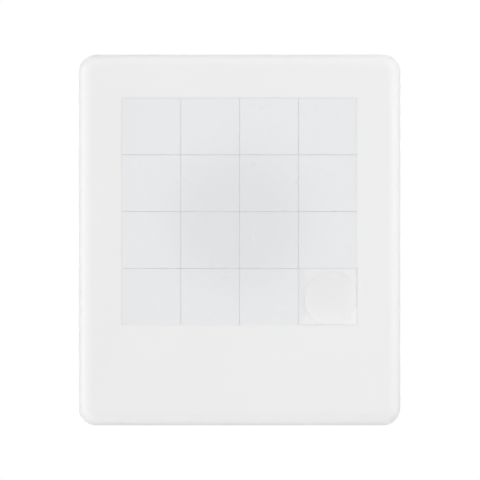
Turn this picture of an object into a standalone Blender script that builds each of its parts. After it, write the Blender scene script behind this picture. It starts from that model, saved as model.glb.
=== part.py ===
"""Sliding puzzle: fifteen interlocking tiles in a two-part case, with one empty cell.

Metres, +Z out of the puzzle's face, +Y towards its top edge. The origin is the middle of the back.
"""

import math

import bmesh
import bpy

# Tiles: one size for all, in reading order from the top left, with the last cell empty.
ROWS = 4
COLUMNS = 4
TILE_WIDTH = 0.01310
TILE_LENGTH = 0.01265
TILE_HEIGHT = 0.0040
TILE_CORNER = 0.0002
TILE_EDGE_ROUND = 0.00015
RELIEF_DEPTH = 0.0005
RELIEF_RIM = 0.0012
RELIEF_RIB = 0.0010

# Running clearances of the tiles: side by side, over the floor and under the face of the frame.
TILE_GAP = 0.00005
TILE_LIFT = 0.0003
TILE_SINK = 0.0001

# Tongue and groove, the same on the tiles and on the frame.
TONGUE_REACH = 0.0008
TONGUE_THICKNESS = 0.0012
TONGUE_BASE = 0.0013
TONGUE_CLEARANCE = 0.0002
GROOVE_DEPTH = 0.00095
TONGUE_SETBACK = 0.0005

# Case: margins from the window's walls to the outside.
SIDE_MARGIN = 0.009675
TOP_MARGIN = 0.009725
BOTTOM_MARGIN = 0.022425
CORNER_RADIUS = 0.0040
EDGE_ROUND = 0.0031
BACK_EDGE_ROUND = 0.0004
CASE_WALL = 0.0016
WINDOW_WALL = 0.0024
WINDOW_CORNER = 0.0002
RIB_THICKNESS = 0.0012
BACK_THICKNESS = 0.0020
BACK_FIT = 0.0003
SEAT_GAP = 0.0003

# Pegs on the back plate, pressed into posts inside the frame.
POST_DIAMETER = 0.0042
PEG_DIAMETER = 0.0020
PEG_LENGTH = 0.0020
PEG_FIT = 0.0002
PEG_TIP_ROUND = 0.0003

# Shallow ring groove in the floor of the empty cell: its lowest line, its two flanks, and how far it
# lies off the middle of the cell.
RING_DIAMETER = 0.0115
RING_DEPTH = 0.00016
RING_INNER_FLANK = 0.0016
RING_OUTER_FLANK = 0.0011
RING_OFFSET_X = 0.0007
RING_OFFSET_Y = -0.0005

# Facets of the rounded shapes.
CORNER_STEPS = 8
EDGE_STEPS = 8
SMALL_STEPS = 3
TILE_EDGE_STEPS = 2
POST_SIDES = 16
RING_SIDES = 40
RING_STEPS = 5
SMOOTH_ANGLE = math.radians(30)

# How far a cutter runs past what it cuts, and how deep a joined shape is sunk into its base.
OVERRUN = 0.0010
ROOT = 0.0004

# Places worked out from the sizes above.
PITCH_X = TILE_WIDTH + TILE_GAP
PITCH_Y = TILE_LENGTH + TILE_GAP
WINDOW_WIDTH = COLUMNS * PITCH_X + TILE_GAP
WINDOW_LENGTH = ROWS * PITCH_Y + TILE_GAP
CASE_WIDTH = WINDOW_WIDTH + 2 * SIDE_MARGIN
CASE_LENGTH = WINDOW_LENGTH + TOP_MARGIN + BOTTOM_MARGIN
TILE_BOTTOM = BACK_THICKNESS + TILE_LIFT
CASE_THICKNESS = TILE_BOTTOM + TILE_HEIGHT + TILE_SINK
WINDOW_X = 0.0
WINDOW_Y = (BOTTOM_MARGIN - TOP_MARGIN) / 2
SEAT = BACK_THICKNESS + SEAT_GAP
TONGUE_LOW = TILE_BOTTOM + TONGUE_BASE
TONGUE_HIGH = TONGUE_LOW + TONGUE_THICKNESS
GROOVE_LOW = TONGUE_LOW - TONGUE_CLEARANCE
GROOVE_HIGH = TONGUE_HIGH + TONGUE_CLEARANCE
TONGUE_INSET = GROOVE_DEPTH + TONGUE_SETBACK
GROOVE_START = TONGUE_INSET - TONGUE_CLEARANCE


def clear_scene():
    for obj in list(bpy.data.objects):
        bpy.data.objects.remove(obj, do_unlink=True)


def plastic(name, colour, roughness):
    """An opaque moulded plastic."""
    material = bpy.data.materials.new(name)
    material.use_nodes = True
    shader = material.node_tree.nodes["Principled BSDF"]
    shader.inputs["Base Color"].default_value = (*colour, 1.0)
    shader.inputs["Roughness"].default_value = roughness
    shader.inputs["Metallic"].default_value = 0.0
    return material


def cell_centre(row, column):
    """The middle of a cell, counted from the top left."""
    x = WINDOW_X + (column - (COLUMNS - 1) / 2) * PITCH_X
    y = WINDOW_Y - (row - (ROWS - 1) / 2) * PITCH_Y
    return x, y


def new_object(name, bm):
    """A mesh object made from bm, its flat faces sharp and its round ones smooth."""
    bmesh.ops.recalc_face_normals(bm, faces=bm.faces)
    mesh = bpy.data.meshes.new(name)
    bm.to_mesh(mesh)
    bm.free()
    mesh.shade_smooth()
    mesh.set_sharp_from_angle(angle=SMOOTH_ANGLE)
    obj = bpy.data.objects.new(name, mesh)
    bpy.context.scene.collection.objects.link(obj)
    return obj


def add_block(bm, low, high):
    """A plain block between two corners, added to bm. Returns its vertices."""
    made = bmesh.ops.create_cube(bm, size=1.0)["verts"]
    size = [b - a for a, b in zip(low, high)]
    middle = [(a + b) / 2 for a, b in zip(low, high)]
    bmesh.ops.scale(bm, vec=size, verts=made)
    bmesh.ops.translate(bm, vec=middle, verts=made)
    return made


def rounded_block(low, high, corner, corner_steps, top=0.0, top_steps=1, bottom=0.0):
    """A block with rounded upright edges, and with its top and bottom edges rounded if asked."""
    bm = bmesh.new()
    add_block(bm, low, high)
    upright = [e for e in bm.edges if abs(e.verts[0].co.z - e.verts[1].co.z) > high[2] / 1e3]
    bmesh.ops.bevel(
        bm, geom=upright, offset=corner, segments=corner_steps, profile=0.5, affect="EDGES"
    )
    for level, radius, steps in ((high[2], top, top_steps), (low[2], bottom, 1)):
        if not radius:
            continue
        near = (high[2] - low[2]) / 1e3
        rim = [e for e in bm.edges if all(abs(v.co.z - level) < near for v in e.verts)]
        bmesh.ops.bevel(bm, geom=rim, offset=radius, segments=steps, profile=0.5, affect="EDGES")
    return bm


def turned(bm, profile, sides, x, y, is_ring=False):
    """Adds a solid turned about an upright axis at (x, y), from (radius, height) points, bottom to top.

    For a ring the points run once round its section, and no end is closed.
    """
    rings = []
    for radius, height in profile:
        ring = []
        for i in range(sides):
            angle = 2 * math.pi * i / sides
            place = (x + radius * math.cos(angle), y + radius * math.sin(angle), height)
            ring.append(bm.verts.new(place))
        rings.append(ring)
    following = rings[1:] + rings[:1] if is_ring else rings[1:]
    for lower, upper in zip(rings, following):
        for i in range(sides):
            j = (i + 1) % sides
            bm.faces.new((lower[i], lower[j], upper[j], upper[i]))
    if not is_ring:
        bm.faces.new(reversed(rings[0]))
        bm.faces.new(rings[-1])


def helper(name, bm):
    """A shape that only cuts or joins another, so it is drawn as wire and never rendered."""
    obj = new_object(name, bm)
    obj.display_type = "WIRE"
    obj.hide_render = True
    return obj


def combine(obj, operation, other):
    """Cuts other from obj, or joins it on."""
    modifier = obj.modifiers.new(other.name, "BOOLEAN")
    modifier.operation = operation
    modifier.solver = "EXACT"
    modifier.object = other


def post_places():
    """Where the case is pegged together: beside the window at both ends, and in the two margins."""
    side_x = CASE_WIDTH / 2 - (SIDE_MARGIN - WINDOW_WALL + CASE_WALL) / 2
    top_y = CASE_LENGTH / 2 - (TOP_MARGIN - WINDOW_WALL + CASE_WALL) / 2
    foot_y = -CASE_LENGTH / 2 + (BOTTOM_MARGIN - WINDOW_WALL + CASE_WALL) / 2
    inner_x = WINDOW_WIDTH / 4
    places = []
    for side in (-1, 1):
        places.append((side * side_x, WINDOW_Y))
        places.append((side * inner_x, top_y))
        places.append((side * inner_x, foot_y))
        places.append((side * side_x, foot_y))
    return places


def make_front_frame(material):
    half_w = CASE_WIDTH / 2
    half_l = CASE_LENGTH / 2
    left = WINDOW_X - WINDOW_WIDTH / 2
    right = WINDOW_X + WINDOW_WIDTH / 2
    foot = WINDOW_Y - WINDOW_LENGTH / 2
    head = WINDOW_Y + WINDOW_LENGTH / 2
    under_face = CASE_THICKNESS - CASE_WALL

    frame = new_object(
        "front_frame",
        rounded_block(
            (-half_w, -half_l, 0.0),
            (half_w, half_l, CASE_THICKNESS),
            CORNER_RADIUS,
            CORNER_STEPS,
            EDGE_ROUND,
            EDGE_STEPS,
            BACK_EDGE_ROUND,
        ),
    )
    frame.data.materials.append(material)

    # The hollow of the shell, open at the back.
    inside_w = half_w - CASE_WALL
    inside_l = half_l - CASE_WALL
    hollow = rounded_block(
        (-inside_w, -inside_l, -OVERRUN),
        (inside_w, inside_l, under_face),
        CORNER_RADIUS - CASE_WALL,
        CORNER_STEPS,
        max(EDGE_ROUND - CASE_WALL, BACK_EDGE_ROUND),
        SMALL_STEPS,
    )
    combine(frame, "DIFFERENCE", helper("frame_hollow", hollow))

    # Inside the shell: the window's walls, two ribs under the wide margin, and the posts.
    inner = bmesh.new()
    wall = WINDOW_WALL
    add_block(
        inner,
        (left - wall, foot - wall, SEAT),
        (right + wall, head + wall, under_face + ROOT),
    )
    combine(frame, "UNION", helper("window_walls", inner))
    foot_inside = -half_l + CASE_WALL
    ribs = bmesh.new()
    for side in (-1, 1):
        rib_x = side * WINDOW_WIDTH / 8
        add_block(
            ribs,
            (rib_x - RIB_THICKNESS / 2, foot_inside - ROOT, SEAT + TILE_LIFT),
            (rib_x + RIB_THICKNESS / 2, foot - wall + ROOT, under_face + ROOT),
        )
    combine(frame, "UNION", helper("margin_ribs", ribs))
    posts = bmesh.new()
    for x, y in post_places():
        radius = POST_DIAMETER / 2
        turned(posts, ((radius, SEAT), (radius, under_face + ROOT)), POST_SIDES, x, y)
    combine(frame, "UNION", helper("posts", posts))
    sockets = bmesh.new()
    for x, y in post_places():
        radius = PEG_DIAMETER / 2 + PEG_FIT
        socket_end = BACK_THICKNESS + PEG_LENGTH + PEG_FIT
        turned(sockets, ((radius, SEAT - OVERRUN), (radius, socket_end)), POST_SIDES, x, y)
    combine(frame, "DIFFERENCE", helper("post_sockets", sockets))

    # The window, its grooves to the right and at the foot, and its rails to the left and at the head.
    window = rounded_block(
        (left, foot, 0.0),
        (right, head, CASE_THICKNESS + OVERRUN),
        WINDOW_CORNER,
        SMALL_STEPS,
    )
    combine(frame, "DIFFERENCE", helper("window", window))
    groove = bmesh.new()
    add_block(
        groove,
        (left + GROOVE_START, foot - GROOVE_DEPTH, GROOVE_LOW),
        (right + GROOVE_DEPTH, head - GROOVE_START, GROOVE_HIGH),
    )
    combine(frame, "DIFFERENCE", helper("window_grooves", groove))
    for name, low, high in (
        ("rail_left", (left - ROOT, foot + TONGUE_SETBACK), (left + TONGUE_REACH, head + ROOT)),
        ("rail_head", (left - ROOT, head - TONGUE_REACH), (right - TONGUE_SETBACK, head + ROOT)),
    ):
        rail = bmesh.new()
        add_block(rail, (*low, TONGUE_LOW), (*high, TONGUE_HIGH))
        combine(frame, "UNION", helper(name, rail))
    return frame


def make_back_plate(material):
    half_w = CASE_WIDTH / 2 - CASE_WALL - BACK_FIT
    half_l = CASE_LENGTH / 2 - CASE_WALL - BACK_FIT
    plate = new_object(
        "back_plate",
        rounded_block(
            (-half_w, -half_l, 0.0),
            (half_w, half_l, BACK_THICKNESS),
            CORNER_RADIUS - CASE_WALL - BACK_FIT,
            CORNER_STEPS,
        ),
    )
    plate.data.materials.append(material)

    pegs = bmesh.new()
    tip = BACK_THICKNESS + PEG_LENGTH
    radius = PEG_DIAMETER / 2
    for x, y in post_places():
        profile = (
            (radius, BACK_THICKNESS - ROOT),
            (radius, tip - PEG_TIP_ROUND),
            (radius - PEG_TIP_ROUND, tip),
        )
        turned(pegs, profile, POST_SIDES, x, y)
    combine(plate, "UNION", helper("pegs", pegs))

    # The ring groove: each flank runs out softly into the floor and is steepest at the lowest line.
    ring_radius = RING_DIAMETER / 2
    section = [(ring_radius - RING_INNER_FLANK, BACK_THICKNESS + OVERRUN)]
    for i in range(-RING_STEPS, RING_STEPS + 1):
        share = i / RING_STEPS
        flank = RING_INNER_FLANK if i < 0 else RING_OUTER_FLANK
        depth = RING_DEPTH * (1 - abs(share)) ** 2
        section.append((ring_radius + flank * share, BACK_THICKNESS - depth))
    section.append((ring_radius + RING_OUTER_FLANK, BACK_THICKNESS + OVERRUN))
    ring = bmesh.new()
    x, y = cell_centre(ROWS - 1, COLUMNS - 1)
    turned(ring, section, RING_SIDES, x + RING_OFFSET_X, y + RING_OFFSET_Y, is_ring=True)
    combine(plate, "DIFFERENCE", helper("ring_groove", ring))
    return plate


def make_tile_mesh(material):
    """The mesh that all tiles share, with the origin in the middle of its underside."""
    half_w = TILE_WIDTH / 2
    half_l = TILE_LENGTH / 2
    groove_low = GROOVE_LOW - TILE_BOTTOM
    groove_high = GROOVE_HIGH - TILE_BOTTOM
    tile = new_object(
        "tile",
        rounded_block(
            (-half_w, -half_l, 0.0),
            (half_w, half_l, TILE_HEIGHT),
            TILE_CORNER,
            SMALL_STEPS,
            TILE_EDGE_ROUND,
            TILE_EDGE_STEPS,
        ),
    )
    tile.data.materials.append(material)

    # Grooves along the left side and the head.
    side_groove = bmesh.new()
    add_block(
        side_groove,
        (-half_w - OVERRUN, -half_l - OVERRUN, groove_low),
        (-half_w + GROOVE_DEPTH, half_l + OVERRUN, groove_high),
    )
    head_groove = bmesh.new()
    add_block(
        head_groove,
        (-half_w - OVERRUN, half_l - GROOVE_DEPTH, groove_low),
        (half_w + OVERRUN, half_l + OVERRUN, groove_high),
    )
    # One slab makes both tongues: it is moved to the right and down, and its ends stay clear of the
    # neighbours' tongues that run in this tile's grooves.
    tongue = bmesh.new()
    add_block(
        tongue,
        (-half_w + TONGUE_INSET, -half_l - TONGUE_REACH, TONGUE_BASE),
        (half_w + TONGUE_REACH, half_l - TONGUE_INSET, TONGUE_BASE + TONGUE_THICKNESS),
    )
    # Underneath, four shallow panels leave a rim and a cross rib for the tile to run on.
    relief = bmesh.new()
    panel_x = half_w - RELIEF_RIM
    panel_y = half_l - RELIEF_RIM
    rib = RELIEF_RIB / 2
    for x0, x1 in ((-panel_x, -rib), (rib, panel_x)):
        for y0, y1 in ((-panel_y, -rib), (rib, panel_y)):
            add_block(relief, (x0, y0, -OVERRUN), (x1, y1, RELIEF_DEPTH))
    cutters = (
        helper("tile_side_groove", side_groove),
        helper("tile_head_groove", head_groove),
        helper("tile_tongue", tongue),
        helper("tile_relief", relief),
    )
    for other, operation in zip(cutters, ("DIFFERENCE", "DIFFERENCE", "UNION", "DIFFERENCE")):
        combine(tile, operation, other)

    graph = bpy.context.evaluated_depsgraph_get()
    mesh = bpy.data.meshes.new_from_object(tile.evaluated_get(graph))
    mesh.name = "tile"
    for obj in (tile, *cutters):
        bpy.data.objects.remove(obj, do_unlink=True)
    return mesh


def make_tiles(material):
    mesh = make_tile_mesh(material)
    for index in range(ROWS * COLUMNS - 1):
        x, y = cell_centre(index // COLUMNS, index % COLUMNS)
        tile = bpy.data.objects.new(f"tile_{index + 1:02d}", mesh)
        tile.location = (x, y, TILE_BOTTOM)
        bpy.context.scene.collection.objects.link(tile)


def main():
    clear_scene()
    case_plastic = plastic("white_case_plastic", (0.82, 0.82, 0.82), 0.38)
    tile_plastic = plastic("white_tile_plastic", (0.79, 0.80, 0.81), 0.22)
    make_front_frame(case_plastic)
    make_back_plate(case_plastic)
    make_tiles(tile_plastic)


main()
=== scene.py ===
# %% [markdown]
# # A white sliding puzzle
# The real object is a flat plastic case, small enough for a pocket, with fifteen blank tiles that
# slide past one another and one empty cell. All of it is white, so the look comes from small
# things: how the edges are rounded, how thin the gaps are, and how the two plastics shine. The
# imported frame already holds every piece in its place. This lesson gives each piece a fine mesh and
# a finish, and leaves the places and the joints as they are.

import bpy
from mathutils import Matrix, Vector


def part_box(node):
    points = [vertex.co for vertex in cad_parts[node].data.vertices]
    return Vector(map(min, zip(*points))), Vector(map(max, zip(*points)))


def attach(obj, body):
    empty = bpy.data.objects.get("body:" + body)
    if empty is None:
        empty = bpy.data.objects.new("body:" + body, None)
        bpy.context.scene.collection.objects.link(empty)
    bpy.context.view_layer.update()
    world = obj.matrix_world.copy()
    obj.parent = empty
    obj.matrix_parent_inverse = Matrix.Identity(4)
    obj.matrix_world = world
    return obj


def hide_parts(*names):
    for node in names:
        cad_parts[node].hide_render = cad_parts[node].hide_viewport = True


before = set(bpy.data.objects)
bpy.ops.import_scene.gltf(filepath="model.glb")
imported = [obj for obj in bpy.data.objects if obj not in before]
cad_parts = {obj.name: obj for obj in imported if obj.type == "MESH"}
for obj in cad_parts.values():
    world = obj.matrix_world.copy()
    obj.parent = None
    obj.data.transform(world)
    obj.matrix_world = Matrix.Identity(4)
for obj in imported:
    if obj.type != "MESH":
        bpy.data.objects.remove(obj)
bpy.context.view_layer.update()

# %% [markdown]
# ## Sizes
# A fine mesh fits its neighbours only if both start from the same measures. They could be typed in
# again, but the frame knows them: the corner of one tile, the step to the next one and the outline
# of the case give the window, the cells and the gaps. Only what a box can't tell, such as how far a
# tongue reaches, is written here.

# %% Measure the case and the tiles
import math

import bmesh
import bpy
from mathutils import Vector

MM = 0.001
ROWS = 4
COLUMNS = 4
TONGUE_REACH = 0.8 * MM

case_low, case_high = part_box("front_frame")
first_low, first_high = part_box("tile_01")
tile_width = first_high.x - TONGUE_REACH - first_low.x
tile_length = first_high.y - TONGUE_REACH - first_low.y
tile_height = first_high.z - first_low.z
tile_bottom = first_low.z
step_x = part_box("tile_02")[0].x - first_low.x
step_y = first_low.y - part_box("tile_05")[0].y
tile_gap = step_x - tile_width
window_left = first_low.x - tile_gap
window_head = first_high.y + tile_gap
window_right = window_left + COLUMNS * step_x + tile_gap
window_foot = window_head - ROWS * step_y - tile_gap
window_width = window_right - window_left
print(f"tile {tile_width / MM:.2f} x {tile_length / MM:.2f} mm, gap {tile_gap / MM:.3f} mm")


def cell_centre(row, column):
    """The middle of a cell, counted from the top left."""
    x = first_low.x + tile_width / 2 + column * step_x
    y = first_high.y - tile_length / 2 - row * step_y
    return x, y


# %% [markdown]
# ## Helpers for node trees
# Both the tiles and the finishes are node trees built by this script. One small function that adds
# a node, sets what is a number and links what is a socket keeps those trees readable.

# %% Add nodes and groups
def add_node(tree, kind, inputs=None, **settings):
    """A new node. Each input is linked if its value is a socket, and set if it is a number."""
    node = tree.nodes.new(kind)
    for name, value in settings.items():
        setattr(node, name, value)
    for name, value in (inputs or {}).items():
        if isinstance(value, bpy.types.NodeSocket):
            tree.links.new(value, node.inputs[name])
        else:
            node.inputs[name].default_value = value
    return node


def calculate(tree, operation, a, b=0.0):
    """The socket of a Math node's result."""
    return add_node(tree, "ShaderNodeMath", {0: a, 1: b}, operation=operation).outputs[0]


def new_tree(name, kind, inputs, outputs):
    """An empty node group with named sockets, and the sockets seen from its inside."""
    tree = bpy.data.node_groups.new(name, kind)
    for label, socket_kind in inputs:
        tree.interface.new_socket(label, in_out="INPUT", socket_type=socket_kind)
    for label, socket_kind in outputs:
        tree.interface.new_socket(label, in_out="OUTPUT", socket_type=socket_kind)
    given = tree.nodes.new("NodeGroupInput").outputs
    result = tree.nodes.new("NodeGroupOutput").inputs
    return tree, given, result


# %% [markdown]
# ## The moulded skin
# Both plastics come out of a steel mould, so both have the same kinds of unevenness: a faint cloudy
# tone where the pigment flowed, a shine that varies a little, and a grain from the mould's surface.
# An image texture could hold this, but noise on Object coordinates has no seams and stays the same
# size on every piece. It is one shader group, and each plastic feeds it its own values.

# %% Make the group for the moulded skin
FLOAT = "NodeSocketFloat"
COLOUR = "NodeSocketColor"
CLOUD_DETAIL = 3.0
WAVE_DETAIL = 1.0
GRAIN_DETAIL = 2.0
NOISE_ROUGHNESS = 0.55


def make_moulded_skin():
    tree, given, result = new_tree(
        "Moulded skin",
        "ShaderNodeTree",
        (
            ("Colour", COLOUR),
            ("Cloud", FLOAT),
            ("Cloud Size", FLOAT),
            ("Roughness", FLOAT),
            ("Roughness Spread", FLOAT),
            ("Wave Size", FLOAT),
            ("Grain Size", FLOAT),
            ("Grain Share", FLOAT),
        ),
        (("Colour", COLOUR), ("Roughness", FLOAT), ("Height", FLOAT)),
    )
    place = add_node(tree, "ShaderNodeTexCoord").outputs["Object"]

    def noise(size, detail):
        scale = calculate(tree, "DIVIDE", 1.0, size)
        values = {"Vector": place, "Scale": scale, "Detail": detail, "Roughness": NOISE_ROUGHNESS}
        return add_node(tree, "ShaderNodeTexNoise", values).outputs["Fac"]

    def around(middle, spread, value):
        """middle plus or minus spread, as the noise value goes from 0 to 1."""
        offset = calculate(tree, "SUBTRACT", value, 0.5)
        offset = calculate(tree, "MULTIPLY", offset, 2.0)
        offset = calculate(tree, "MULTIPLY", offset, spread)
        return calculate(tree, "ADD", middle, offset)

    cloud = around(1.0, given["Cloud"], noise(given["Cloud Size"], CLOUD_DETAIL))
    tinted = add_node(
        tree, "ShaderNodeVectorMath", {0: given["Colour"], "Scale": cloud}, operation="SCALE"
    )
    waves = noise(given["Wave Size"], WAVE_DETAIL)
    grain = noise(given["Grain Size"], GRAIN_DETAIL)
    shine = around(given["Roughness"], given["Roughness Spread"], waves)
    fine = calculate(tree, "MULTIPLY", grain, given["Grain Share"])
    tree.links.new(tinted.outputs["Vector"], result["Colour"])
    tree.links.new(shine, result["Roughness"])
    tree.links.new(calculate(tree, "ADD", waves, fine), result["Height"])
    return tree


moulded_skin = make_moulded_skin()
print("group:", moulded_skin.name, "with", len(moulded_skin.nodes), "nodes")

# %% [markdown]
# ## Marks of handling
# A puzzle that lives in a pocket picks up hairlines, thin scratches that mostly run the way the
# tiles are pushed. Modelled scratches would be far too many faces. Noise stretched along one
# direction and cut off high leaves only its thin crests, and two such layers at different angles
# cross like real ones. The group puts out a mask, so that each plastic can decide how much duller
# its scratches are.

# %% Make the group for the hairlines
HAIRLINE_ANGLES = (math.radians(8), math.radians(97))
HAIRLINE_STRETCH = 30.0
HAIRLINE_WIDEST = 0.12
HAIRLINE_DETAIL = 2.0


def make_hairlines():
    tree, given, result = new_tree(
        "Hairlines",
        "ShaderNodeTree",
        (("Spacing", FLOAT), ("Rarity", FLOAT)),
        (("Mask", FLOAT),),
    )
    place = add_node(tree, "ShaderNodeTexCoord").outputs["Object"]
    scale = calculate(tree, "DIVIDE", 1.0, given["Spacing"])
    layers = []
    for angle in HAIRLINE_ANGLES:
        stretched = add_node(
            tree,
            "ShaderNodeMapping",
            {"Vector": place, "Rotation": (0, 0, angle), "Scale": (HAIRLINE_STRETCH, 1, 1)},
            vector_type="TEXTURE",
        )
        values = {
            "Vector": stretched.outputs["Vector"],
            "Scale": scale,
            "Detail": HAIRLINE_DETAIL,
        }
        crest = add_node(tree, "ShaderNodeTexNoise", values).outputs["Fac"]
        above = calculate(tree, "SUBTRACT", crest, given["Rarity"])
        limits = {"Value": above, "From Max": HAIRLINE_WIDEST}
        layers.append(add_node(tree, "ShaderNodeMapRange", limits).outputs["Result"])
    tree.links.new(calculate(tree, "MAXIMUM", *layers), result["Mask"])
    return tree


hairlines = make_hairlines()
print("group:", hairlines.name, "with", len(hairlines.nodes), "nodes")

# %% [markdown]
# ## The plastics
# The case is a neutral white with a satin skin: the mould was lightly blasted, so it has a grain
# that spreads every highlight. The back plate is the same plastic from a smoother mould, since
# tiles run on it. The tiles are a slightly cooler white from a polished mould, with a clear gloss
# over a softer body. Gloss of that kind could be one low roughness, but then the body would look
# wet. A coat over a rougher base keeps both.

# %% Put a plastic together
PLASTIC_IOR = 1.52


def make_plastic(name, skin, scratches, dulling, bump_height):
    """A moulded plastic, with its own values for the skin and for the scratches."""
    material = bpy.data.materials.new(name)
    material.use_nodes = True
    tree = material.node_tree
    shader = tree.nodes["Principled BSDF"]
    surface = add_node(tree, "ShaderNodeGroup", node_tree=moulded_skin)
    for label, value in skin.items():
        surface.inputs[label].default_value = value
    marks = add_node(tree, "ShaderNodeGroup", node_tree=hairlines)
    for label, value in scratches.items():
        marks.inputs[label].default_value = value
    duller = calculate(tree, "MULTIPLY", marks.outputs["Mask"], dulling)
    roughness = calculate(tree, "ADD", surface.outputs["Roughness"], duller)
    bump = add_node(
        tree,
        "ShaderNodeBump",
        {"Height": surface.outputs["Height"], "Strength": 1.0, "Distance": bump_height},
    )
    tree.links.new(surface.outputs["Colour"], shader.inputs["Base Color"])
    tree.links.new(roughness, shader.inputs["Roughness"])
    tree.links.new(bump.outputs["Normal"], shader.inputs["Normal"])
    shader.inputs["IOR"].default_value = PLASTIC_IOR
    return material


# %% Make the three plastics
CASE_WHITE = (0.820, 0.820, 0.820, 1.0)
PLATE_WHITE = (0.787, 0.787, 0.787, 1.0)
TILE_WHITE = (0.748, 0.757, 0.770, 1.0)
GLOSS_WEIGHT = 1.0
GLOSS_ROUGHNESS = 0.02

case_skin = {
    "Colour": CASE_WHITE,
    "Cloud": 0.012,
    "Cloud Size": 14 * MM,
    "Roughness": 0.44,
    "Roughness Spread": 0.05,
    "Wave Size": 5 * MM,
    "Grain Size": 0.18 * MM,
    "Grain Share": 0.35,
}
plate_skin = {**case_skin, "Colour": PLATE_WHITE, "Roughness": 0.33, "Roughness Spread": 0.03}
tile_skin = {
    "Colour": TILE_WHITE,
    "Cloud": 0.008,
    "Cloud Size": 9 * MM,
    "Roughness": 0.33,
    "Roughness Spread": 0.03,
    "Wave Size": 3.5 * MM,
    "Grain Size": 0.25 * MM,
    "Grain Share": 0.05,
}
case_marks = {"Spacing": 0.4 * MM, "Rarity": 0.74}
tile_marks = {"Spacing": 0.35 * MM, "Rarity": 0.74}

case_plastic = make_plastic(
    "case_plastic", case_skin, case_marks, dulling=0.06, bump_height=0.012 * MM
)
plate_plastic = make_plastic(
    "plate_plastic", plate_skin, case_marks, dulling=0.06, bump_height=0.006 * MM
)
tile_plastic = make_plastic(
    "tile_plastic", tile_skin, tile_marks, dulling=0.05, bump_height=0.0016 * MM
)
tile_shader = tile_plastic.node_tree.nodes["Principled BSDF"]
tile_shader.inputs["Coat Weight"].default_value = GLOSS_WEIGHT
tile_shader.inputs["Coat Roughness"].default_value = GLOSS_ROUGHNESS
print("materials:", case_plastic.name, plate_plastic.name, tile_plastic.name)

# %% [markdown]
# ## Blocks with rounded outlines
# The frame, the back plate and most of what is cut out of them are rounded rectangles that change
# with height. A Bevel modifier could round a cube, but its steps are hard to control where a wide
# and a narrow round meet. Stacking outlines and joining them with faces says exactly where each
# ring of points lies, so a round can end in a narrow flat ring that keeps the shading of the large
# face level.

# %% Draw outlines and stack them
def rounded_outline(left, foot, right, head, radius, steps):
    """The points of a rounded rectangle, anticlockwise from the right-hand side."""
    centres = (
        (right - radius, head - radius),
        (left + radius, head - radius),
        (left + radius, foot + radius),
        (right - radius, foot + radius),
    )
    points = []
    for quarter, (x, y) in enumerate(centres):
        for i in range(steps + 1):
            angle = math.pi / 2 * (quarter + i / steps)
            points.append((x + radius * math.cos(angle), y + radius * math.sin(angle)))
    return points


def stack(bm, levels, is_ring=False):
    """Adds a closed block to bm, from outlines of (x, y, z) points, the lowest first.

    The last outline of a ring joins its first one, so it needs no end faces.
    """
    rings = [[bm.verts.new(point) for point in level] for level in levels]
    following = rings[1:] + rings[:1] if is_ring else rings[1:]
    for lower, upper in zip(rings, following):
        for i in range(len(lower)):
            j = (i + 1) % len(lower)
            bm.faces.new((lower[i], lower[j], upper[j], upper[i]))
    if not is_ring:
        bm.faces.new(reversed(rings[0]))
        bm.faces.new(rings[-1])


# %% Make blocks
CORNER_STEPS = 16


def shrunk(box, distance):
    """The outline box, moved inwards on all four sides."""
    left, foot, right, head = box
    return left + distance, foot + distance, right - distance, head - distance


def rounded_block(box, radius, rings, steps=CORNER_STEPS):
    """A block over the outline box, with rings of (how far outside the outline, height)."""
    left, foot, right, head = box
    bm = bmesh.new()
    levels = []
    for out, height in rings:
        outline = rounded_outline(
            left - out, foot - out, right + out, head + out, radius + out, steps
        )
        levels.append([(x, y, height) for x, y in outline])
    stack(bm, levels)
    return bm


def turned(bm, x, y, profile, sides, is_ring=False):
    """Adds a turned block to bm, about an upright axis, from (radius, height) points."""
    angles = [2 * math.pi * i / sides for i in range(sides)]
    circle = [(math.cos(a), math.sin(a)) for a in angles]
    levels = []
    for radius, height in profile:
        levels.append([(x + radius * along, y + radius * up, height) for along, up in circle])
    stack(bm, levels, is_ring)


def plain_block(bm, low, high):
    """Adds a square-edged block to bm, between two corners."""
    outline = ((low[0], low[1]), (high[0], low[1]), (high[0], high[1]), (low[0], high[1]))
    stack(bm, [[(x, y, height) for x, y in outline] for height in (low[2], high[2])])


# %% Round the edges of the blocks
def quarter_turn(steps):
    """The angles from 0 to a right angle."""
    return [math.pi / 2 * i / steps for i in range(steps + 1)]


def top_round(radius, height, steps):
    """Rings of a rounded top edge."""
    turn = quarter_turn(steps)
    return [(-radius * (1 - math.cos(a)), height - radius * (1 - math.sin(a))) for a in turn]


def flare(radius, height, steps):
    """Rings of a cutter that leaves a rounded edge round the opening that it cuts."""
    turn = quarter_turn(steps)
    return [(radius * (1 - math.cos(a)), height - radius * (1 - math.sin(a))) for a in turn]


def back_round(radius, steps):
    """Rings of a rounded edge at the back, where the height is 0."""
    turn = quarter_turn(steps)
    return [(-radius * (1 - math.sin(a)), radius * (1 - math.cos(a))) for a in turn]


# %% [markdown]
# ## Cutting and joining
# The shell is a block with shapes cut out and others joined on, as the mould maker would cut it.
# Boolean modifiers do that without hand-placed faces. They are worked out once, at the end, so that
# what is left is a plain mesh with sharp cuts and smooth rounds.

# %% Cut, join and finish a mesh
SMOOTH_ANGLE = math.radians(30)


def new_object(name, bm):
    mesh = bpy.data.meshes.new(name)
    bm.to_mesh(mesh)
    bm.free()
    obj = bpy.data.objects.new(name, mesh)
    bpy.context.scene.collection.objects.link(obj)
    return obj


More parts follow.
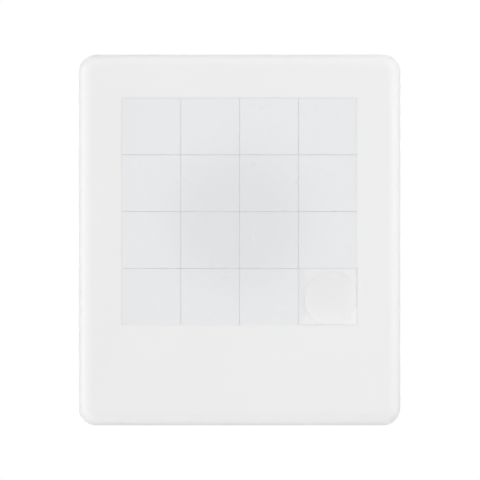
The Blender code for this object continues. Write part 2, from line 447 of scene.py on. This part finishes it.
def shaped_piece(name, block, steps, material):
    """The block with each (operation, shape) worked into it, as one plain mesh."""
    piece = new_object(name, block)
    tools = []
    for operation, shape in steps:
        tool = new_object(f"{name}_tool", shape)
        tools.append(tool)
        modifier = piece.modifiers.new(operation.lower(), "BOOLEAN")
        modifier.operation = operation
        modifier.solver = "EXACT"
        modifier.object = tool
    graph = bpy.context.evaluated_depsgraph_get()
    mesh = bpy.data.meshes.new_from_object(piece.evaluated_get(graph))
    piece.modifiers.clear()
    piece.data = mesh
    for tool in tools:
        bpy.data.objects.remove(tool, do_unlink=True)
    mesh.name = name
    mesh.materials.clear()
    mesh.materials.append(material)
    mesh.shade_smooth()
    mesh.set_sharp_from_angle(angle=SMOOTH_ANGLE)
    print(name, "faces:", len(mesh.polygons))
    return piece


# %% [markdown]
# ## The front frame
# This is the piece that the hand holds: a hollow shell with a wide round along its outer edge, a
# window for the tiles and a broad margin below. The window's left and top walls carry a rail and
# the other two a groove, so that every tile is held down. The visible work is in the outer round
# and in the crisp window edge, which is only just broken. The window is a few hundredths of a
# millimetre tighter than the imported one, so that the line round the tiles stays thin. Everything
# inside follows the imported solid.

# %% Sizes of the frame
CASE_CORNER = 4.0 * MM
OUTER_ROUND = 3.1 * MM
BACK_EDGE_ROUND = 0.4 * MM
WALL = 1.6 * MM
WINDOW_WALL = 2.4 * MM
WINDOW_CORNER = 0.1 * MM
WINDOW_BREAK = 0.02 * MM
WINDOW_SNUG = (0.009 * MM, 0.034 * MM, 0.034 * MM, 0.014 * MM)
FLAT_RING = 0.3 * MM
FLOOR_GAP = 0.3 * MM
TONGUE_BASE = 1.3 * MM
TONGUE_THICKNESS = 1.2 * MM
TONGUE_CLEARANCE = 0.2 * MM
TONGUE_SETBACK = 0.5 * MM
GROOVE_DEPTH = 0.95 * MM
RIB = 1.2 * MM
POST_RADIUS = 2.1 * MM
PEG_RADIUS = 1.0 * MM
PEG_LENGTH = 2.0 * MM
PEG_FIT = 0.2 * MM
SINK = 0.4 * MM
PAST = 1.0 * MM
ROUND_STEPS = 24
FINE_STEPS = 6
POST_SIDES = 32

face = case_high.z
floor_top = tile_bottom - FLOOR_GAP
seat = floor_top + FLOOR_GAP
under_face = face - WALL
tongue_low = tile_bottom + TONGUE_BASE
tongue_high = tongue_low + TONGUE_THICKNESS
groove_low = tongue_low - TONGUE_CLEARANCE
groove_high = tongue_high + TONGUE_CLEARANCE
tongue_inset = GROOVE_DEPTH + TONGUE_SETBACK
case_box = (case_low.x, case_low.y, case_high.x, case_high.y)
snug_left, snug_foot, snug_right, snug_head = WINDOW_SNUG
window_box = (
    window_left + snug_left,
    window_foot + snug_foot,
    window_right - snug_right,
    window_head - snug_head,
)
print(f"window {window_width / MM:.2f} x {(window_head - window_foot) / MM:.2f} mm")


# %% Where the pegs are
def peg_places():
    """Beside the window at both ends, above it, and in the broad margin below it."""
    side = case_high.x - (case_high.x - window_right - WINDOW_WALL + WALL) / 2
    above = case_high.y - (case_high.y - window_head - WINDOW_WALL + WALL) / 2
    below = case_low.y + (window_foot - case_low.y - WINDOW_WALL + WALL) / 2
    inner = window_width / 4
    middle = (window_foot + window_head) / 2
    places = []
    for sign in (-1, 1):
        places += [
            (sign * side, middle),
            (sign * inner, above),
            (sign * inner, below),
            (sign * side, below),
        ]
    return places


print("pegs:", len(peg_places()))


# %% What is inside the shell
def shell_steps():
    """The hollow, then the walls round the window and the two ribs below it."""
    hollow = rounded_block(
        shrunk(case_box, WALL),
        CASE_CORNER - WALL,
        [(0, -PAST), *top_round(OUTER_ROUND - WALL, under_face, FINE_STEPS)],
    )
    walls = bmesh.new()
    plain_block(
        walls,
        (window_left - WINDOW_WALL, window_foot - WINDOW_WALL, seat),
        (window_right + WINDOW_WALL, window_head + WINDOW_WALL, under_face + SINK),
    )
    ribs = bmesh.new()
    for sign in (-1, 1):
        x = sign * window_width / 8
        plain_block(
            ribs,
            (x - RIB / 2, case_low.y + WALL - SINK, seat + FLOOR_GAP),
            (x + RIB / 2, window_foot - WINDOW_WALL + SINK, under_face + SINK),
        )
    return [("DIFFERENCE", hollow), ("UNION", walls), ("UNION", ribs)]


def post_steps():
    """The posts, then a socket for a peg in each."""
    posts = bmesh.new()
    sockets = bmesh.new()
    bore = PEG_RADIUS + PEG_FIT
    end = floor_top + PEG_LENGTH + PEG_FIT
    for x, y in peg_places():
        turned(posts, x, y, ((POST_RADIUS, seat), (POST_RADIUS, under_face + SINK)), POST_SIDES)
        turned(sockets, x, y, ((bore, seat - PAST), (bore, end)), POST_SIDES)
    return [("UNION", posts), ("DIFFERENCE", sockets)]


# %% What the tiles run in
def window_steps():
    """The window, then the grooves in two of its walls and the rails on the other two."""
    opening = rounded_block(
        window_box,
        WINDOW_CORNER,
        [(0, seat - PAST), *flare(WINDOW_BREAK, face, FINE_STEPS), (WINDOW_BREAK, face + PAST)],
        FINE_STEPS,
    )
    grooves = bmesh.new()
    groove_start = tongue_inset - TONGUE_CLEARANCE
    plain_block(
        grooves,
        (window_left + groove_start, window_foot - GROOVE_DEPTH, groove_low),
        (window_right + GROOVE_DEPTH, window_head - groove_start, groove_high),
    )
    left_rail = bmesh.new()
    plain_block(
        left_rail,
        (window_left - SINK, window_foot + TONGUE_SETBACK, tongue_low),
        (window_left + TONGUE_REACH, window_head + SINK, tongue_high),
    )
    head_rail = bmesh.new()
    plain_block(
        head_rail,
        (window_left - SINK, window_head - TONGUE_REACH, tongue_low),
        (window_right - TONGUE_SETBACK, window_head + SINK, tongue_high),
    )
    return [
        ("DIFFERENCE", opening),
        ("DIFFERENCE", grooves),
        ("UNION", left_rail),
        ("UNION", head_rail),
    ]


# %% Make the frame
frame_block = rounded_block(
    case_box,
    CASE_CORNER,
    [
        *back_round(BACK_EDGE_ROUND, FINE_STEPS),
        *top_round(OUTER_ROUND, face, ROUND_STEPS),
        (-OUTER_ROUND - FLAT_RING, face),
    ],
)
frame_steps = [*shell_steps(), *post_steps(), *window_steps()]
front_frame = shaped_piece("front_frame_skin", frame_block, frame_steps, case_plastic)
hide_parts("front_frame")
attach(front_frame, "case")

# %% [markdown]
# ## The back plate
# The plate drops into the open back of the shell on eight pegs and is the floor that the tiles run
# on. In the empty cell its floor shows a ring, a groove so shallow that a tile passes over it
# without touching. A bump map could draw it, but only a real groove also shows from the side. It is
# cut by one turned section with many steps, because the cell shows it from close by: both flanks
# run out softly into the floor and are steepest at the lowest line.

# %% Make the pegs
PEG_TIP_ROUND = 0.3 * MM

tip_round = top_round(PEG_TIP_ROUND, floor_top + PEG_LENGTH, FINE_STEPS)
peg_section = [(PEG_RADIUS, floor_top - SINK)]
peg_section += [(PEG_RADIUS + out, height) for out, height in tip_round]
pegs = bmesh.new()
for x, y in peg_places():
    turned(pegs, x, y, peg_section, POST_SIDES)
print("points on each peg:", len(pegs.verts) // len(peg_places()))

# %% Make the ring's cutter
RING_RADIUS = 5.75 * MM
RING_DEPTH = 0.16 * MM
RING_INNER_FLANK = 1.6 * MM
RING_OUTER_FLANK = 1.1 * MM
RING_OFFSET = (0.7 * MM, -0.5 * MM)
RING_SIDES = 128
RING_STEPS = 16

ring_section = [(RING_RADIUS - RING_INNER_FLANK, floor_top + PAST)]
for i in range(-RING_STEPS, RING_STEPS + 1):
    share = i / RING_STEPS
    flank = RING_INNER_FLANK if i < 0 else RING_OUTER_FLANK
    depth = RING_DEPTH * (1 - abs(share)) ** 2
    ring_section.append((RING_RADIUS + flank * share, floor_top - depth))
ring_section.append((RING_RADIUS + RING_OUTER_FLANK, floor_top + PAST))
x, y = cell_centre(ROWS - 1, COLUMNS - 1)
ring = bmesh.new()
turned(ring, x + RING_OFFSET[0], y + RING_OFFSET[1], ring_section, RING_SIDES, is_ring=True)
print("points on the ring:", len(ring.verts))

# %% Make the back plate
PLATE_FIT = 0.3 * MM
PLATE_EDGE_ROUND = 0.15 * MM

inset = WALL + PLATE_FIT
plate_block = rounded_block(
    shrunk(case_box, inset),
    CASE_CORNER - inset,
    [
        *back_round(PLATE_EDGE_ROUND, FINE_STEPS),
        *top_round(PLATE_EDGE_ROUND, floor_top, FINE_STEPS),
        (-PLATE_EDGE_ROUND - FLAT_RING, floor_top),
    ],
)
plate_steps = [("UNION", pegs), ("DIFFERENCE", ring)]
back_plate = shaped_piece("back_plate_skin", plate_block, plate_steps, plate_plastic)
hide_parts("back_plate")
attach(back_plate, "case")

# %% [markdown]
# ## The tile, as a rule
# All fifteen tiles come from one mould. Fifteen copies of a mesh would do for the picture, but a
# Geometry Nodes tree keeps the rule itself: a rounded rectangle is swept up the side, over the
# broken edge and onto the face, capped above and below, then cut with two grooves, joined to the
# slab that makes both tongues, and relieved underneath by a two by two array of shallow panels.
# Every size is a named input, and so are the tile's place and its plastic.

# %% Inputs of the tile's tree
VECTOR = "NodeSocketVector"
GEOMETRY = "NodeSocketGeometry"
MATERIAL = "NodeSocketMaterial"
TILE_INPUTS = (
    ("Width", FLOAT),
    ("Length", FLOAT),
    ("Height", FLOAT),
    ("Corner Radius", FLOAT),
    ("Edge Radius", FLOAT),
    ("Flat Ring", FLOAT),
    ("Groove Depth", FLOAT),
    ("Groove Low", FLOAT),
    ("Groove High", FLOAT),
    ("Tongue Reach", FLOAT),
    ("Tongue Inset", FLOAT),
    ("Tongue Low", FLOAT),
    ("Tongue High", FLOAT),
    ("Relief Depth", FLOAT),
    ("Relief Rim", FLOAT),
    ("Relief Rib", FLOAT),
    ("Place", VECTOR),
    ("Plastic", MATERIAL),
)
print("tile inputs:", len(TILE_INPUTS))

# %% Parts of the tile's tree
MERGE_DISTANCE = 0.001 * MM


def node_vector(tree, x, y, z):
    return add_node(tree, "ShaderNodeCombineXYZ", {"X": x, "Y": y, "Z": z}).outputs["Vector"]


def node_moved(tree, geometry, offset):
    moved = {"Geometry": geometry, "Translation": offset}
    return add_node(tree, "GeometryNodeTransform", moved).outputs["Geometry"]


def node_block(tree, low, high):
    """A block between two corners, each given as three sockets or numbers."""
    low = node_vector(tree, *low)
    high = node_vector(tree, *high)
    size = add_node(tree, "ShaderNodeVectorMath", {0: high, 1: low}, operation="SUBTRACT")
    total = add_node(tree, "ShaderNodeVectorMath", {0: high, 1: low}, operation="ADD")
    middle = add_node(
        tree, "ShaderNodeVectorMath", {0: total.outputs[0], "Scale": 0.5}, operation="SCALE"
    )
    cube = add_node(tree, "GeometryNodeMeshCube", {"Size": size.outputs[0]}).outputs["Mesh"]
    return node_moved(tree, cube, middle.outputs[0])


def node_join(tree, parts):
    join = tree.nodes.new("GeometryNodeJoinGeometry")
    for part in parts:
        tree.links.new(part, join.inputs["Geometry"])
    return join.outputs["Geometry"]


def node_merged(tree, parts):
    """The parts as one mesh, in which the points that they share are one."""
    merged = {"Geometry": node_join(tree, parts), "Distance": MERGE_DISTANCE}
    return add_node(tree, "GeometryNodeMergeByDistance", merged).outputs["Geometry"]


def node_boolean(tree, operation, first, second):
    """The first mesh cut by the second, or joined with it."""
    node = add_node(tree, "GeometryNodeMeshBoolean", operation=operation, solver="EXACT")
    tree.links.new(first, node.inputs["Mesh 1" if operation == "DIFFERENCE" else "Mesh 2"])
    tree.links.new(second, node.inputs["Mesh 2"])
    return node.outputs["Mesh"]


# %% The tile's sides
TILE_CORNER_STEPS = 6
TILE_EDGE_STEPS = 5


def node_tile_outline(tree, given):
    """The outline, as a curve that the sides' profiles can follow."""
    outline = add_node(
        tree,
        "GeometryNodeCurvePrimitiveQuadrilateral",
        {"Width": given["Width"], "Height": given["Length"]},
        mode="RECTANGLE",
    ).outputs["Curve"]
    rounded = add_node(
        tree,
        "GeometryNodeFilletCurve",
        {"Curve": outline, "Count": TILE_CORNER_STEPS, "Radius": given["Corner Radius"]},
        mode="POLY",
    ).outputs["Curve"]
    return add_node(
        tree, "GeometryNodeSetCurveNormal", {"Curve": rounded}, mode="Z_UP"
    ).outputs["Curve"]


def node_tile_sides(tree, given):
    """The side, the broken edge and a narrow ring of the face, swept along the outline."""
    edge = given["Edge Radius"]
    shoulder = calculate(tree, "SUBTRACT", edge, given["Height"])
    top = calculate(tree, "MULTIPLY", given["Height"], -1.0)
    inward = calculate(tree, "MULTIPLY", edge, -1.0)
    ring = calculate(tree, "SUBTRACT", inward, given["Flat Ring"])
    outline = node_tile_outline(tree, given)
    side = add_node(
        tree, "GeometryNodeCurvePrimitiveLine", {"End": node_vector(tree, 0.0, shoulder, 0.0)}
    ).outputs["Curve"]
    quarter = add_node(
        tree,
        "GeometryNodeCurveArc",
        {"Resolution": TILE_EDGE_STEPS + 1, "Radius": edge, "Sweep Angle": -math.pi / 2},
        mode="RADIUS",
    ).outputs["Curve"]
    broken_edge = node_moved(tree, quarter, node_vector(tree, inward, shoulder, 0.0))
    flat_ring = add_node(
        tree,
        "GeometryNodeCurvePrimitiveLine",
        {"Start": node_vector(tree, inward, top, 0.0), "End": node_vector(tree, ring, top, 0.0)},
    ).outputs["Curve"]
    strips = []
    for profile in (side, broken_edge, flat_ring):
        sweep = {"Curve": outline, "Profile Curve": profile}
        strips.append(add_node(tree, "GeometryNodeCurveToMesh", sweep).outputs["Mesh"])
    return node_merged(tree, strips)


# %% The tile's body
def node_tile_body(tree, given):
    """The sides, closed by a cap above and below, with the underside at height 0."""
    sides = node_tile_sides(tree, given)
    neighbours = add_node(tree, "GeometryNodeInputMeshEdgeNeighbors").outputs["Face Count"]
    height = add_node(
        tree,
        "ShaderNodeSeparateXYZ",
        {"Vector": add_node(tree, "GeometryNodeInputPosition").outputs["Position"]},
    ).outputs["Z"]
    rim = calculate(tree, "COMPARE", neighbours, 1.0)
    half = calculate(tree, "MULTIPLY", given["Height"], 0.5)
    caps = []
    for operation, level in (("GREATER_THAN", given["Height"]), ("LESS_THAN", 0.0)):
        chosen = calculate(tree, "MULTIPLY", rim, calculate(tree, operation, height, half))
        loop = add_node(tree, "GeometryNodeMeshToCurve", {"Mesh": sides, "Selection": chosen})
        filled = add_node(
            tree, "GeometryNodeFillCurve", {"Curve": loop.outputs["Curve"]}, mode="NGONS"
        ).outputs["Mesh"]
        caps.append(node_moved(tree, filled, node_vector(tree, 0.0, 0.0, level)))
    face_cap, foot_cap = caps
    foot_cap = add_node(tree, "GeometryNodeFlipFaces", {"Mesh": foot_cap}).outputs["Mesh"]
    return node_merged(tree, (sides, face_cap, foot_cap))


# %% The tile's panels
def node_relief(tree, given):
    """Four shallow panels, which leave a rim and a cross rib to run on."""
    sizes = []
    for name in ("Width", "Length"):
        rims = calculate(tree, "MULTIPLY", given["Relief Rim"], 2.0)
        inside = calculate(tree, "SUBTRACT", given[name], rims)
        both = calculate(tree, "SUBTRACT", inside, given["Relief Rib"])
        sizes.append(calculate(tree, "MULTIPLY", both, 0.5))
    half_x, half_y = [calculate(tree, "MULTIPLY", size, 0.5) for size in sizes]
    back_x, back_y = [calculate(tree, "MULTIPLY", size, -0.5) for size in sizes]
    panel = node_block(tree, (back_x, back_y, -PAST), (half_x, half_y, given["Relief Depth"]))
    grid = add_node(
        tree,
        "GeometryNodeMeshGrid",
        {
            "Size X": calculate(tree, "ADD", sizes[0], given["Relief Rib"]),
            "Size Y": calculate(tree, "ADD", sizes[1], given["Relief Rib"]),
            "Vertices X": 2,
            "Vertices Y": 2,
        },
    ).outputs["Mesh"]
    array = add_node(tree, "GeometryNodeInstanceOnPoints", {"Points": grid, "Instance": panel})
    return add_node(
        tree, "GeometryNodeRealizeInstances", {"Geometry": array.outputs["Instances"]}
    ).outputs["Geometry"]


# %% The tile's grooves and tongues
def node_tile_fittings(tree, given):
    """The cutters for both grooves, and the slab that makes both tongues."""
    right = calculate(tree, "MULTIPLY", given["Width"], 0.5)
    left = calculate(tree, "MULTIPLY", given["Width"], -0.5)
    head = calculate(tree, "MULTIPLY", given["Length"], 0.5)
    foot = calculate(tree, "MULTIPLY", given["Length"], -0.5)
    past_right = calculate(tree, "ADD", right, PAST)
    past_left = calculate(tree, "SUBTRACT", left, PAST)
    past_head = calculate(tree, "ADD", head, PAST)
    past_foot = calculate(tree, "SUBTRACT", foot, PAST)
    side_groove = node_block(
        tree,
        (past_left, past_foot, given["Groove Low"]),
        (calculate(tree, "ADD", left, given["Groove Depth"]), past_head, given["Groove High"]),
    )
    head_groove = node_block(
        tree,
        (past_left, calculate(tree, "SUBTRACT", head, given["Groove Depth"]), given["Groove Low"]),
        (past_right, past_head, given["Groove High"]),
    )
    tongue = node_block(
        tree,
        (
            calculate(tree, "ADD", left, given["Tongue Inset"]),
            calculate(tree, "SUBTRACT", foot, given["Tongue Reach"]),
            given["Tongue Low"],
        ),
        (
            calculate(tree, "ADD", right, given["Tongue Reach"]),
            calculate(tree, "SUBTRACT", head, given["Tongue Inset"]),
            given["Tongue High"],
        ),
    )
    return side_groove, head_groove, tongue


# %% The whole rule
def make_tile_rule():
    tree, given, result = new_tree(
        "Sliding tile", "GeometryNodeTree", TILE_INPUTS, (("Geometry", GEOMETRY),)
    )
    side_groove, head_groove, tongue = node_tile_fittings(tree, given)
    body = node_tile_body(tree, given)
    body = node_boolean(tree, "DIFFERENCE", body, side_groove)
    body = node_boolean(tree, "DIFFERENCE", body, head_groove)
    body = node_boolean(tree, "UNION", body, tongue)
    body = node_boolean(tree, "DIFFERENCE", body, node_relief(tree, given))

    smooth = add_node(tree, "GeometryNodeSetShadeSmooth", {"Geometry": body}, domain="FACE")
    angle = add_node(tree, "GeometryNodeInputMeshEdgeAngle").outputs["Unsigned Angle"]
    crisp = add_node(
        tree,
        "GeometryNodeSetShadeSmooth",
        {
            "Geometry": smooth.outputs["Geometry"],
            "Selection": calculate(tree, "GREATER_THAN", angle, SMOOTH_ANGLE),
            "Shade Smooth": False,
        },
        domain="EDGE",
    ).outputs["Geometry"]
    placed = node_moved(tree, crisp, given["Place"])
    real = add_node(tree, "GeometryNodeRealizeInstances", {"Geometry": placed}).outputs["Geometry"]
    dressed = {"Geometry": real, "Material": given["Plastic"]}
    done = add_node(tree, "GeometryNodeSetMaterial", dressed).outputs["Geometry"]
    tree.links.new(done, result["Geometry"])
    return tree


tile_rule = make_tile_rule()
print("rule:", tile_rule.name, "with", len(tile_rule.nodes), "nodes")

# %% [markdown]
# ## The fifteen tiles
# Each tile is its own body, so each gets its own mesh: the rule is worked out at the tile's place,
# the result is kept as a plain mesh, and the modifier goes. The edges and the corners are broken
# far less than a hand would feel, because wider ones would show as dark lines between the tiles and
# as dots where four of them meet. For the same thin lines each side stands a hundredth of a
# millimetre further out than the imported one.

# %% Make the tiles
TILE_CORNER = 0.10 * MM
TILE_EDGE = 0.03 * MM
TILE_FLAT_RING = 0.05 * MM
SNUG = 0.01 * MM
RELIEF_DEPTH = 0.5 * MM
RELIEF_RIM = 1.2 * MM
RELIEF_RIB = 1.0 * MM

tile_values = {
    "Width": tile_width + 2 * SNUG,
    "Length": tile_length + 2 * SNUG,
    "Height": tile_height,
    "Corner Radius": TILE_CORNER,
    "Edge Radius": TILE_EDGE,
    "Flat Ring": TILE_FLAT_RING,
    "Groove Depth": GROOVE_DEPTH,
    "Groove Low": groove_low - tile_bottom,
    "Groove High": groove_high - tile_bottom,
    "Tongue Reach": TONGUE_REACH - SNUG,
    "Tongue Inset": tongue_inset,
    "Tongue Low": tongue_low - tile_bottom,
    "Tongue High": tongue_high - tile_bottom,
    "Relief Depth": RELIEF_DEPTH,
    "Relief Rim": RELIEF_RIM,
    "Relief Rib": RELIEF_RIB,
    "Plastic": tile_plastic,
}
tile_sockets = {
    item.name: item.identifier for item in tile_rule.interface.items_tree if item.in_out == "INPUT"
}


def make_tile(name, place):
    obj = bpy.data.objects.new(f"{name}_skin", bpy.data.meshes.new(f"{name}_start"))
    bpy.context.scene.collection.objects.link(obj)
    modifier = obj.modifiers.new("tile", "NODES")
    modifier.node_group = tile_rule
    for label, value in {**tile_values, "Place": place}.items():
        modifier[tile_sockets[label]] = value
    graph = bpy.context.evaluated_depsgraph_get()
    mesh = bpy.data.meshes.new_from_object(obj.evaluated_get(graph))
    obj.modifiers.clear()
    obj.data = mesh
    mesh.name = f"{name}_skin"
    return obj


for index in range(ROWS * COLUMNS - 1):
    name = f"tile_{index + 1:02d}"
    x, y = cell_centre(index // COLUMNS, index % COLUMNS)
    tile = make_tile(name, (x, y, tile_bottom))
    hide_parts(name)
    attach(tile, name)
print("tiles:", ROWS * COLUMNS - 1, "faces each:", len(tile.data.polygons))

# %% [markdown]
# ## The table
# The puzzle lies on a plain white sheet. Seen directly the sheet is almost all white, so the
# outline of the puzzle is drawn only by its own tone. A share of real shading stays in it, which
# keeps a faint shadow round the case, and for every other ray it is an ordinary matt surface that
# throws light back up at the puzzle's sides.

# %% Lay the sheet
SHEET_SIZE = 6.0
SHEET_WHITE = (1.0, 1.0, 1.0, 1.0)
SHEET_GLOW = 0.85


def make_sheet_material():
    material = bpy.data.materials.new("white_sheet")
    material.use_nodes = True
    tree = material.node_tree
    tree.nodes.remove(tree.nodes["Principled BSDF"])
    output = tree.nodes["Material Output"]
    matt = add_node(tree, "ShaderNodeBsdfDiffuse", {"Color": SHEET_WHITE}).outputs["BSDF"]
    glow = add_node(tree, "ShaderNodeEmission", {"Color": SHEET_WHITE, "Strength": 1.0})
    rays = add_node(tree, "ShaderNodeLightPath").outputs
    seen = calculate(tree, "MAXIMUM", rays["Is Camera Ray"], rays["Is Glossy Ray"])
    seen = calculate(tree, "MAXIMUM", seen, rays["Is Transmission Ray"])
    share = calculate(tree, "MULTIPLY", seen, SHEET_GLOW)
    layers = {"Fac": share, 1: matt, 2: glow.outputs["Emission"]}
    mix = add_node(tree, "ShaderNodeMixShader", layers)
    tree.links.new(mix.outputs["Shader"], output.inputs["Surface"])
    return material


sheet_bm = bmesh.new()
bmesh.ops.create_grid(sheet_bm, x_segments=1, y_segments=1, size=SHEET_SIZE / 2)
bmesh.ops.translate(sheet_bm, vec=(0, 0, case_low.z), verts=sheet_bm.verts)
sheet = new_object("white_sheet", sheet_bm)
sheet.data.materials.append(make_sheet_material())
print("sheet:", SHEET_SIZE, "m")

# %% [markdown]
# ## The light
# The light is a white tent: soft from all sides, weaker from the near side than from the others,
# and with a brighter panel straight above. The panel has an opening for the lens. It is small, but
# the glossy tiles in the middle mirror it and go slightly darker than the others. Lower down, the
# gloss mirrors a pale surround that goes with the white background, so that the tiles look white
# from the side too. Lamps could make such a tent with many more settings, so it is the world
# itself, as a rule of direction.

# %% Put up the tent
TENT_LEVEL = 0.12
NEAR_LEVEL = 0.6
PANEL_LEVEL = 1.4
PANEL_INNER = math.radians(4)
PANEL_OUTER = math.radians(9)
SURROUND_LEVEL = 0.8
SURROUND_TOP = math.radians(40)
SURROUND_END = math.radians(60)
OPENING_TILT = math.radians(0.0725)
OPENING_INNER = math.radians(0.125)
OPENING_OUTER = math.radians(0.35)


def node_fade(tree, value, start, end, first, last):
    """A smooth change from first to last, as value goes from start to end."""
    limits = {"Value": value, "From Min": start, "From Max": end, "To Min": first, "To Max": last}
    node = add_node(tree, "ShaderNodeMapRange", limits, interpolation_type="SMOOTHSTEP")
    return node.outputs["Result"]


def make_tent():
    world = bpy.data.worlds.new("white_tent")
    world.use_nodes = True
    tree = world.node_tree
    background = tree.nodes["Background"]
    direction = add_node(tree, "ShaderNodeTexCoord").outputs["Generated"]
    parts = add_node(tree, "ShaderNodeSeparateXYZ", {"Vector": direction}).outputs
    axis = (0.0, math.sin(OPENING_TILT), math.cos(OPENING_TILT))
    away = add_node(
        tree, "ShaderNodeVectorMath", {0: direction, 1: axis}, operation="DISTANCE"
    ).outputs["Value"]
    # A direction's Y is -1 straight towards the near side and 0 to the left and to the right.
    walls = node_fade(tree, parts["Y"], -1.0, 0.0, TENT_LEVEL * NEAR_LEVEL, TENT_LEVEL)
    panel = node_fade(tree, away, PANEL_INNER, PANEL_OUTER, PANEL_LEVEL, 0.0)
    opening = node_fade(tree, away, OPENING_INNER, OPENING_OUTER, 0.0, 1.0)
    level = calculate(tree, "MULTIPLY", calculate(tree, "ADD", walls, panel), opening)
    surround = node_fade(
        tree, parts["Z"], math.sin(SURROUND_TOP), math.sin(SURROUND_END), SURROUND_LEVEL, 0.0
    )
    is_mirrored = add_node(tree, "ShaderNodeLightPath").outputs["Is Glossy Ray"]
    level = calculate(tree, "MAXIMUM", level, calculate(tree, "MULTIPLY", surround, is_mirrored))
    tree.links.new(level, background.inputs["Strength"])
    background.inputs["Color"].default_value = (1, 1, 1, 1)
    bpy.context.scene.world = world


make_tent()
print("tent level", TENT_LEVEL, "panel level", PANEL_LEVEL)

# %% [markdown]
# ## The lamps
# A tent alone leaves the floor of the empty cell and the gaps far too dark. The main light comes
# from straight above, beside the lens, so it reaches down into every gap without a visible shadow.
# A small lamp high on the left draws the ring in the cell's floor: it lights the flank that faces
# it and leaves the other one darker. Four long lamps stand low around the puzzle and lift its rims.
# Three of them are far away, and the right one is close, so the case gets lighter towards it. The
# last lamp stands a little higher beyond the top edge, so the case also gets slightly lighter
# towards the top.

# %% Hang the lamps
FRONT_SHARE = 0.828
FRONT_SPREAD = math.radians(3)
SIDE_LAMPS = {
    "high": {"share": 0.05, "place": (-0.342, 0.012, 0.940), "size": (0.12, 0.12)},
    "left": {"share": 0.24, "place": (-1.2, 0.0, 0.05), "size": (0.8, 0.08)},
    "right": {"share": 0.19, "place": (0.22, 0.05, 0.036), "size": (0.2, 0.05)},
    "near": {"share": 0.10, "place": (0.0, -1.2, 0.05), "size": (0.8, 0.08)},
    "far": {"share": 0.09, "place": (0.0, 1.2, 0.05), "size": (0.8, 0.08)},
    "top": {"share": 0.02, "place": (0.05, 0.2, 0.1), "size": (0.2, 0.05)},
}


def add_lamp(name, kind, energy):
    data = bpy.data.lights.new(name, kind)
    data.energy = energy
    lamp = bpy.data.objects.new(name, data)
    bpy.context.scene.collection.objects.link(lamp)
    lamp.visible_camera = False
    return lamp


def add_sun(name, share, spread):
    """A parallel light that the gloss does not mirror.

    Its share is how bright it makes a white face that is turned towards it.
    """
    lamp = add_lamp(name, "SUN", math.pi * share)
    lamp.data.angle = spread
    lamp.visible_glossy = False


def add_side_lamp(name, share, place, size):
    """A rectangular lamp that stands to one side and faces the puzzle, with a share as above."""
    place = Vector(place)
    lamp = add_lamp(name, "AREA", share * (math.pi * place.length) ** 2)
    lamp.data.shape = "RECTANGLE"
    lamp.data.size, lamp.data.size_y = size
    lamp.location = place
    lamp.rotation_euler = place.to_track_quat("Z", "Y").to_euler()


add_sun("front_lamp", FRONT_SHARE, FRONT_SPREAD)
for name, values in SIDE_LAMPS.items():
    add_side_lamp(f"{name}_lamp", **values)
print("lamps:", 1 + len(SIDE_LAMPS))

# %% [markdown]
# ## The camera
# The picture is taken from straight above with a long lens, so that the sides of the case hide
# behind its outline and the lines between the tiles stay even. The camera's height fixes how much
# of the opening the tiles mirror, and the lens then follows from how wide the picture is at the
# face.

# %% Set the camera
CAMERA_DISTANCE = 3.6
PICTURE_WIDTH = 107.33 * MM
PICTURE_CENTRE = (0.09 * MM, 0.0)

lens = bpy.data.cameras.new("photo_camera")
camera = bpy.data.objects.new("photo_camera", lens)
bpy.context.scene.collection.objects.link(camera)
camera.location = (*PICTURE_CENTRE, face + CAMERA_DISTANCE)
lens.lens = lens.sensor_width * CAMERA_DISTANCE / PICTURE_WIDTH
bpy.context.scene.camera = camera
bpy.context.scene.view_settings.view_transform = "Standard"
print(f"lens {lens.lens:.0f} mm at {CAMERA_DISTANCE} m")
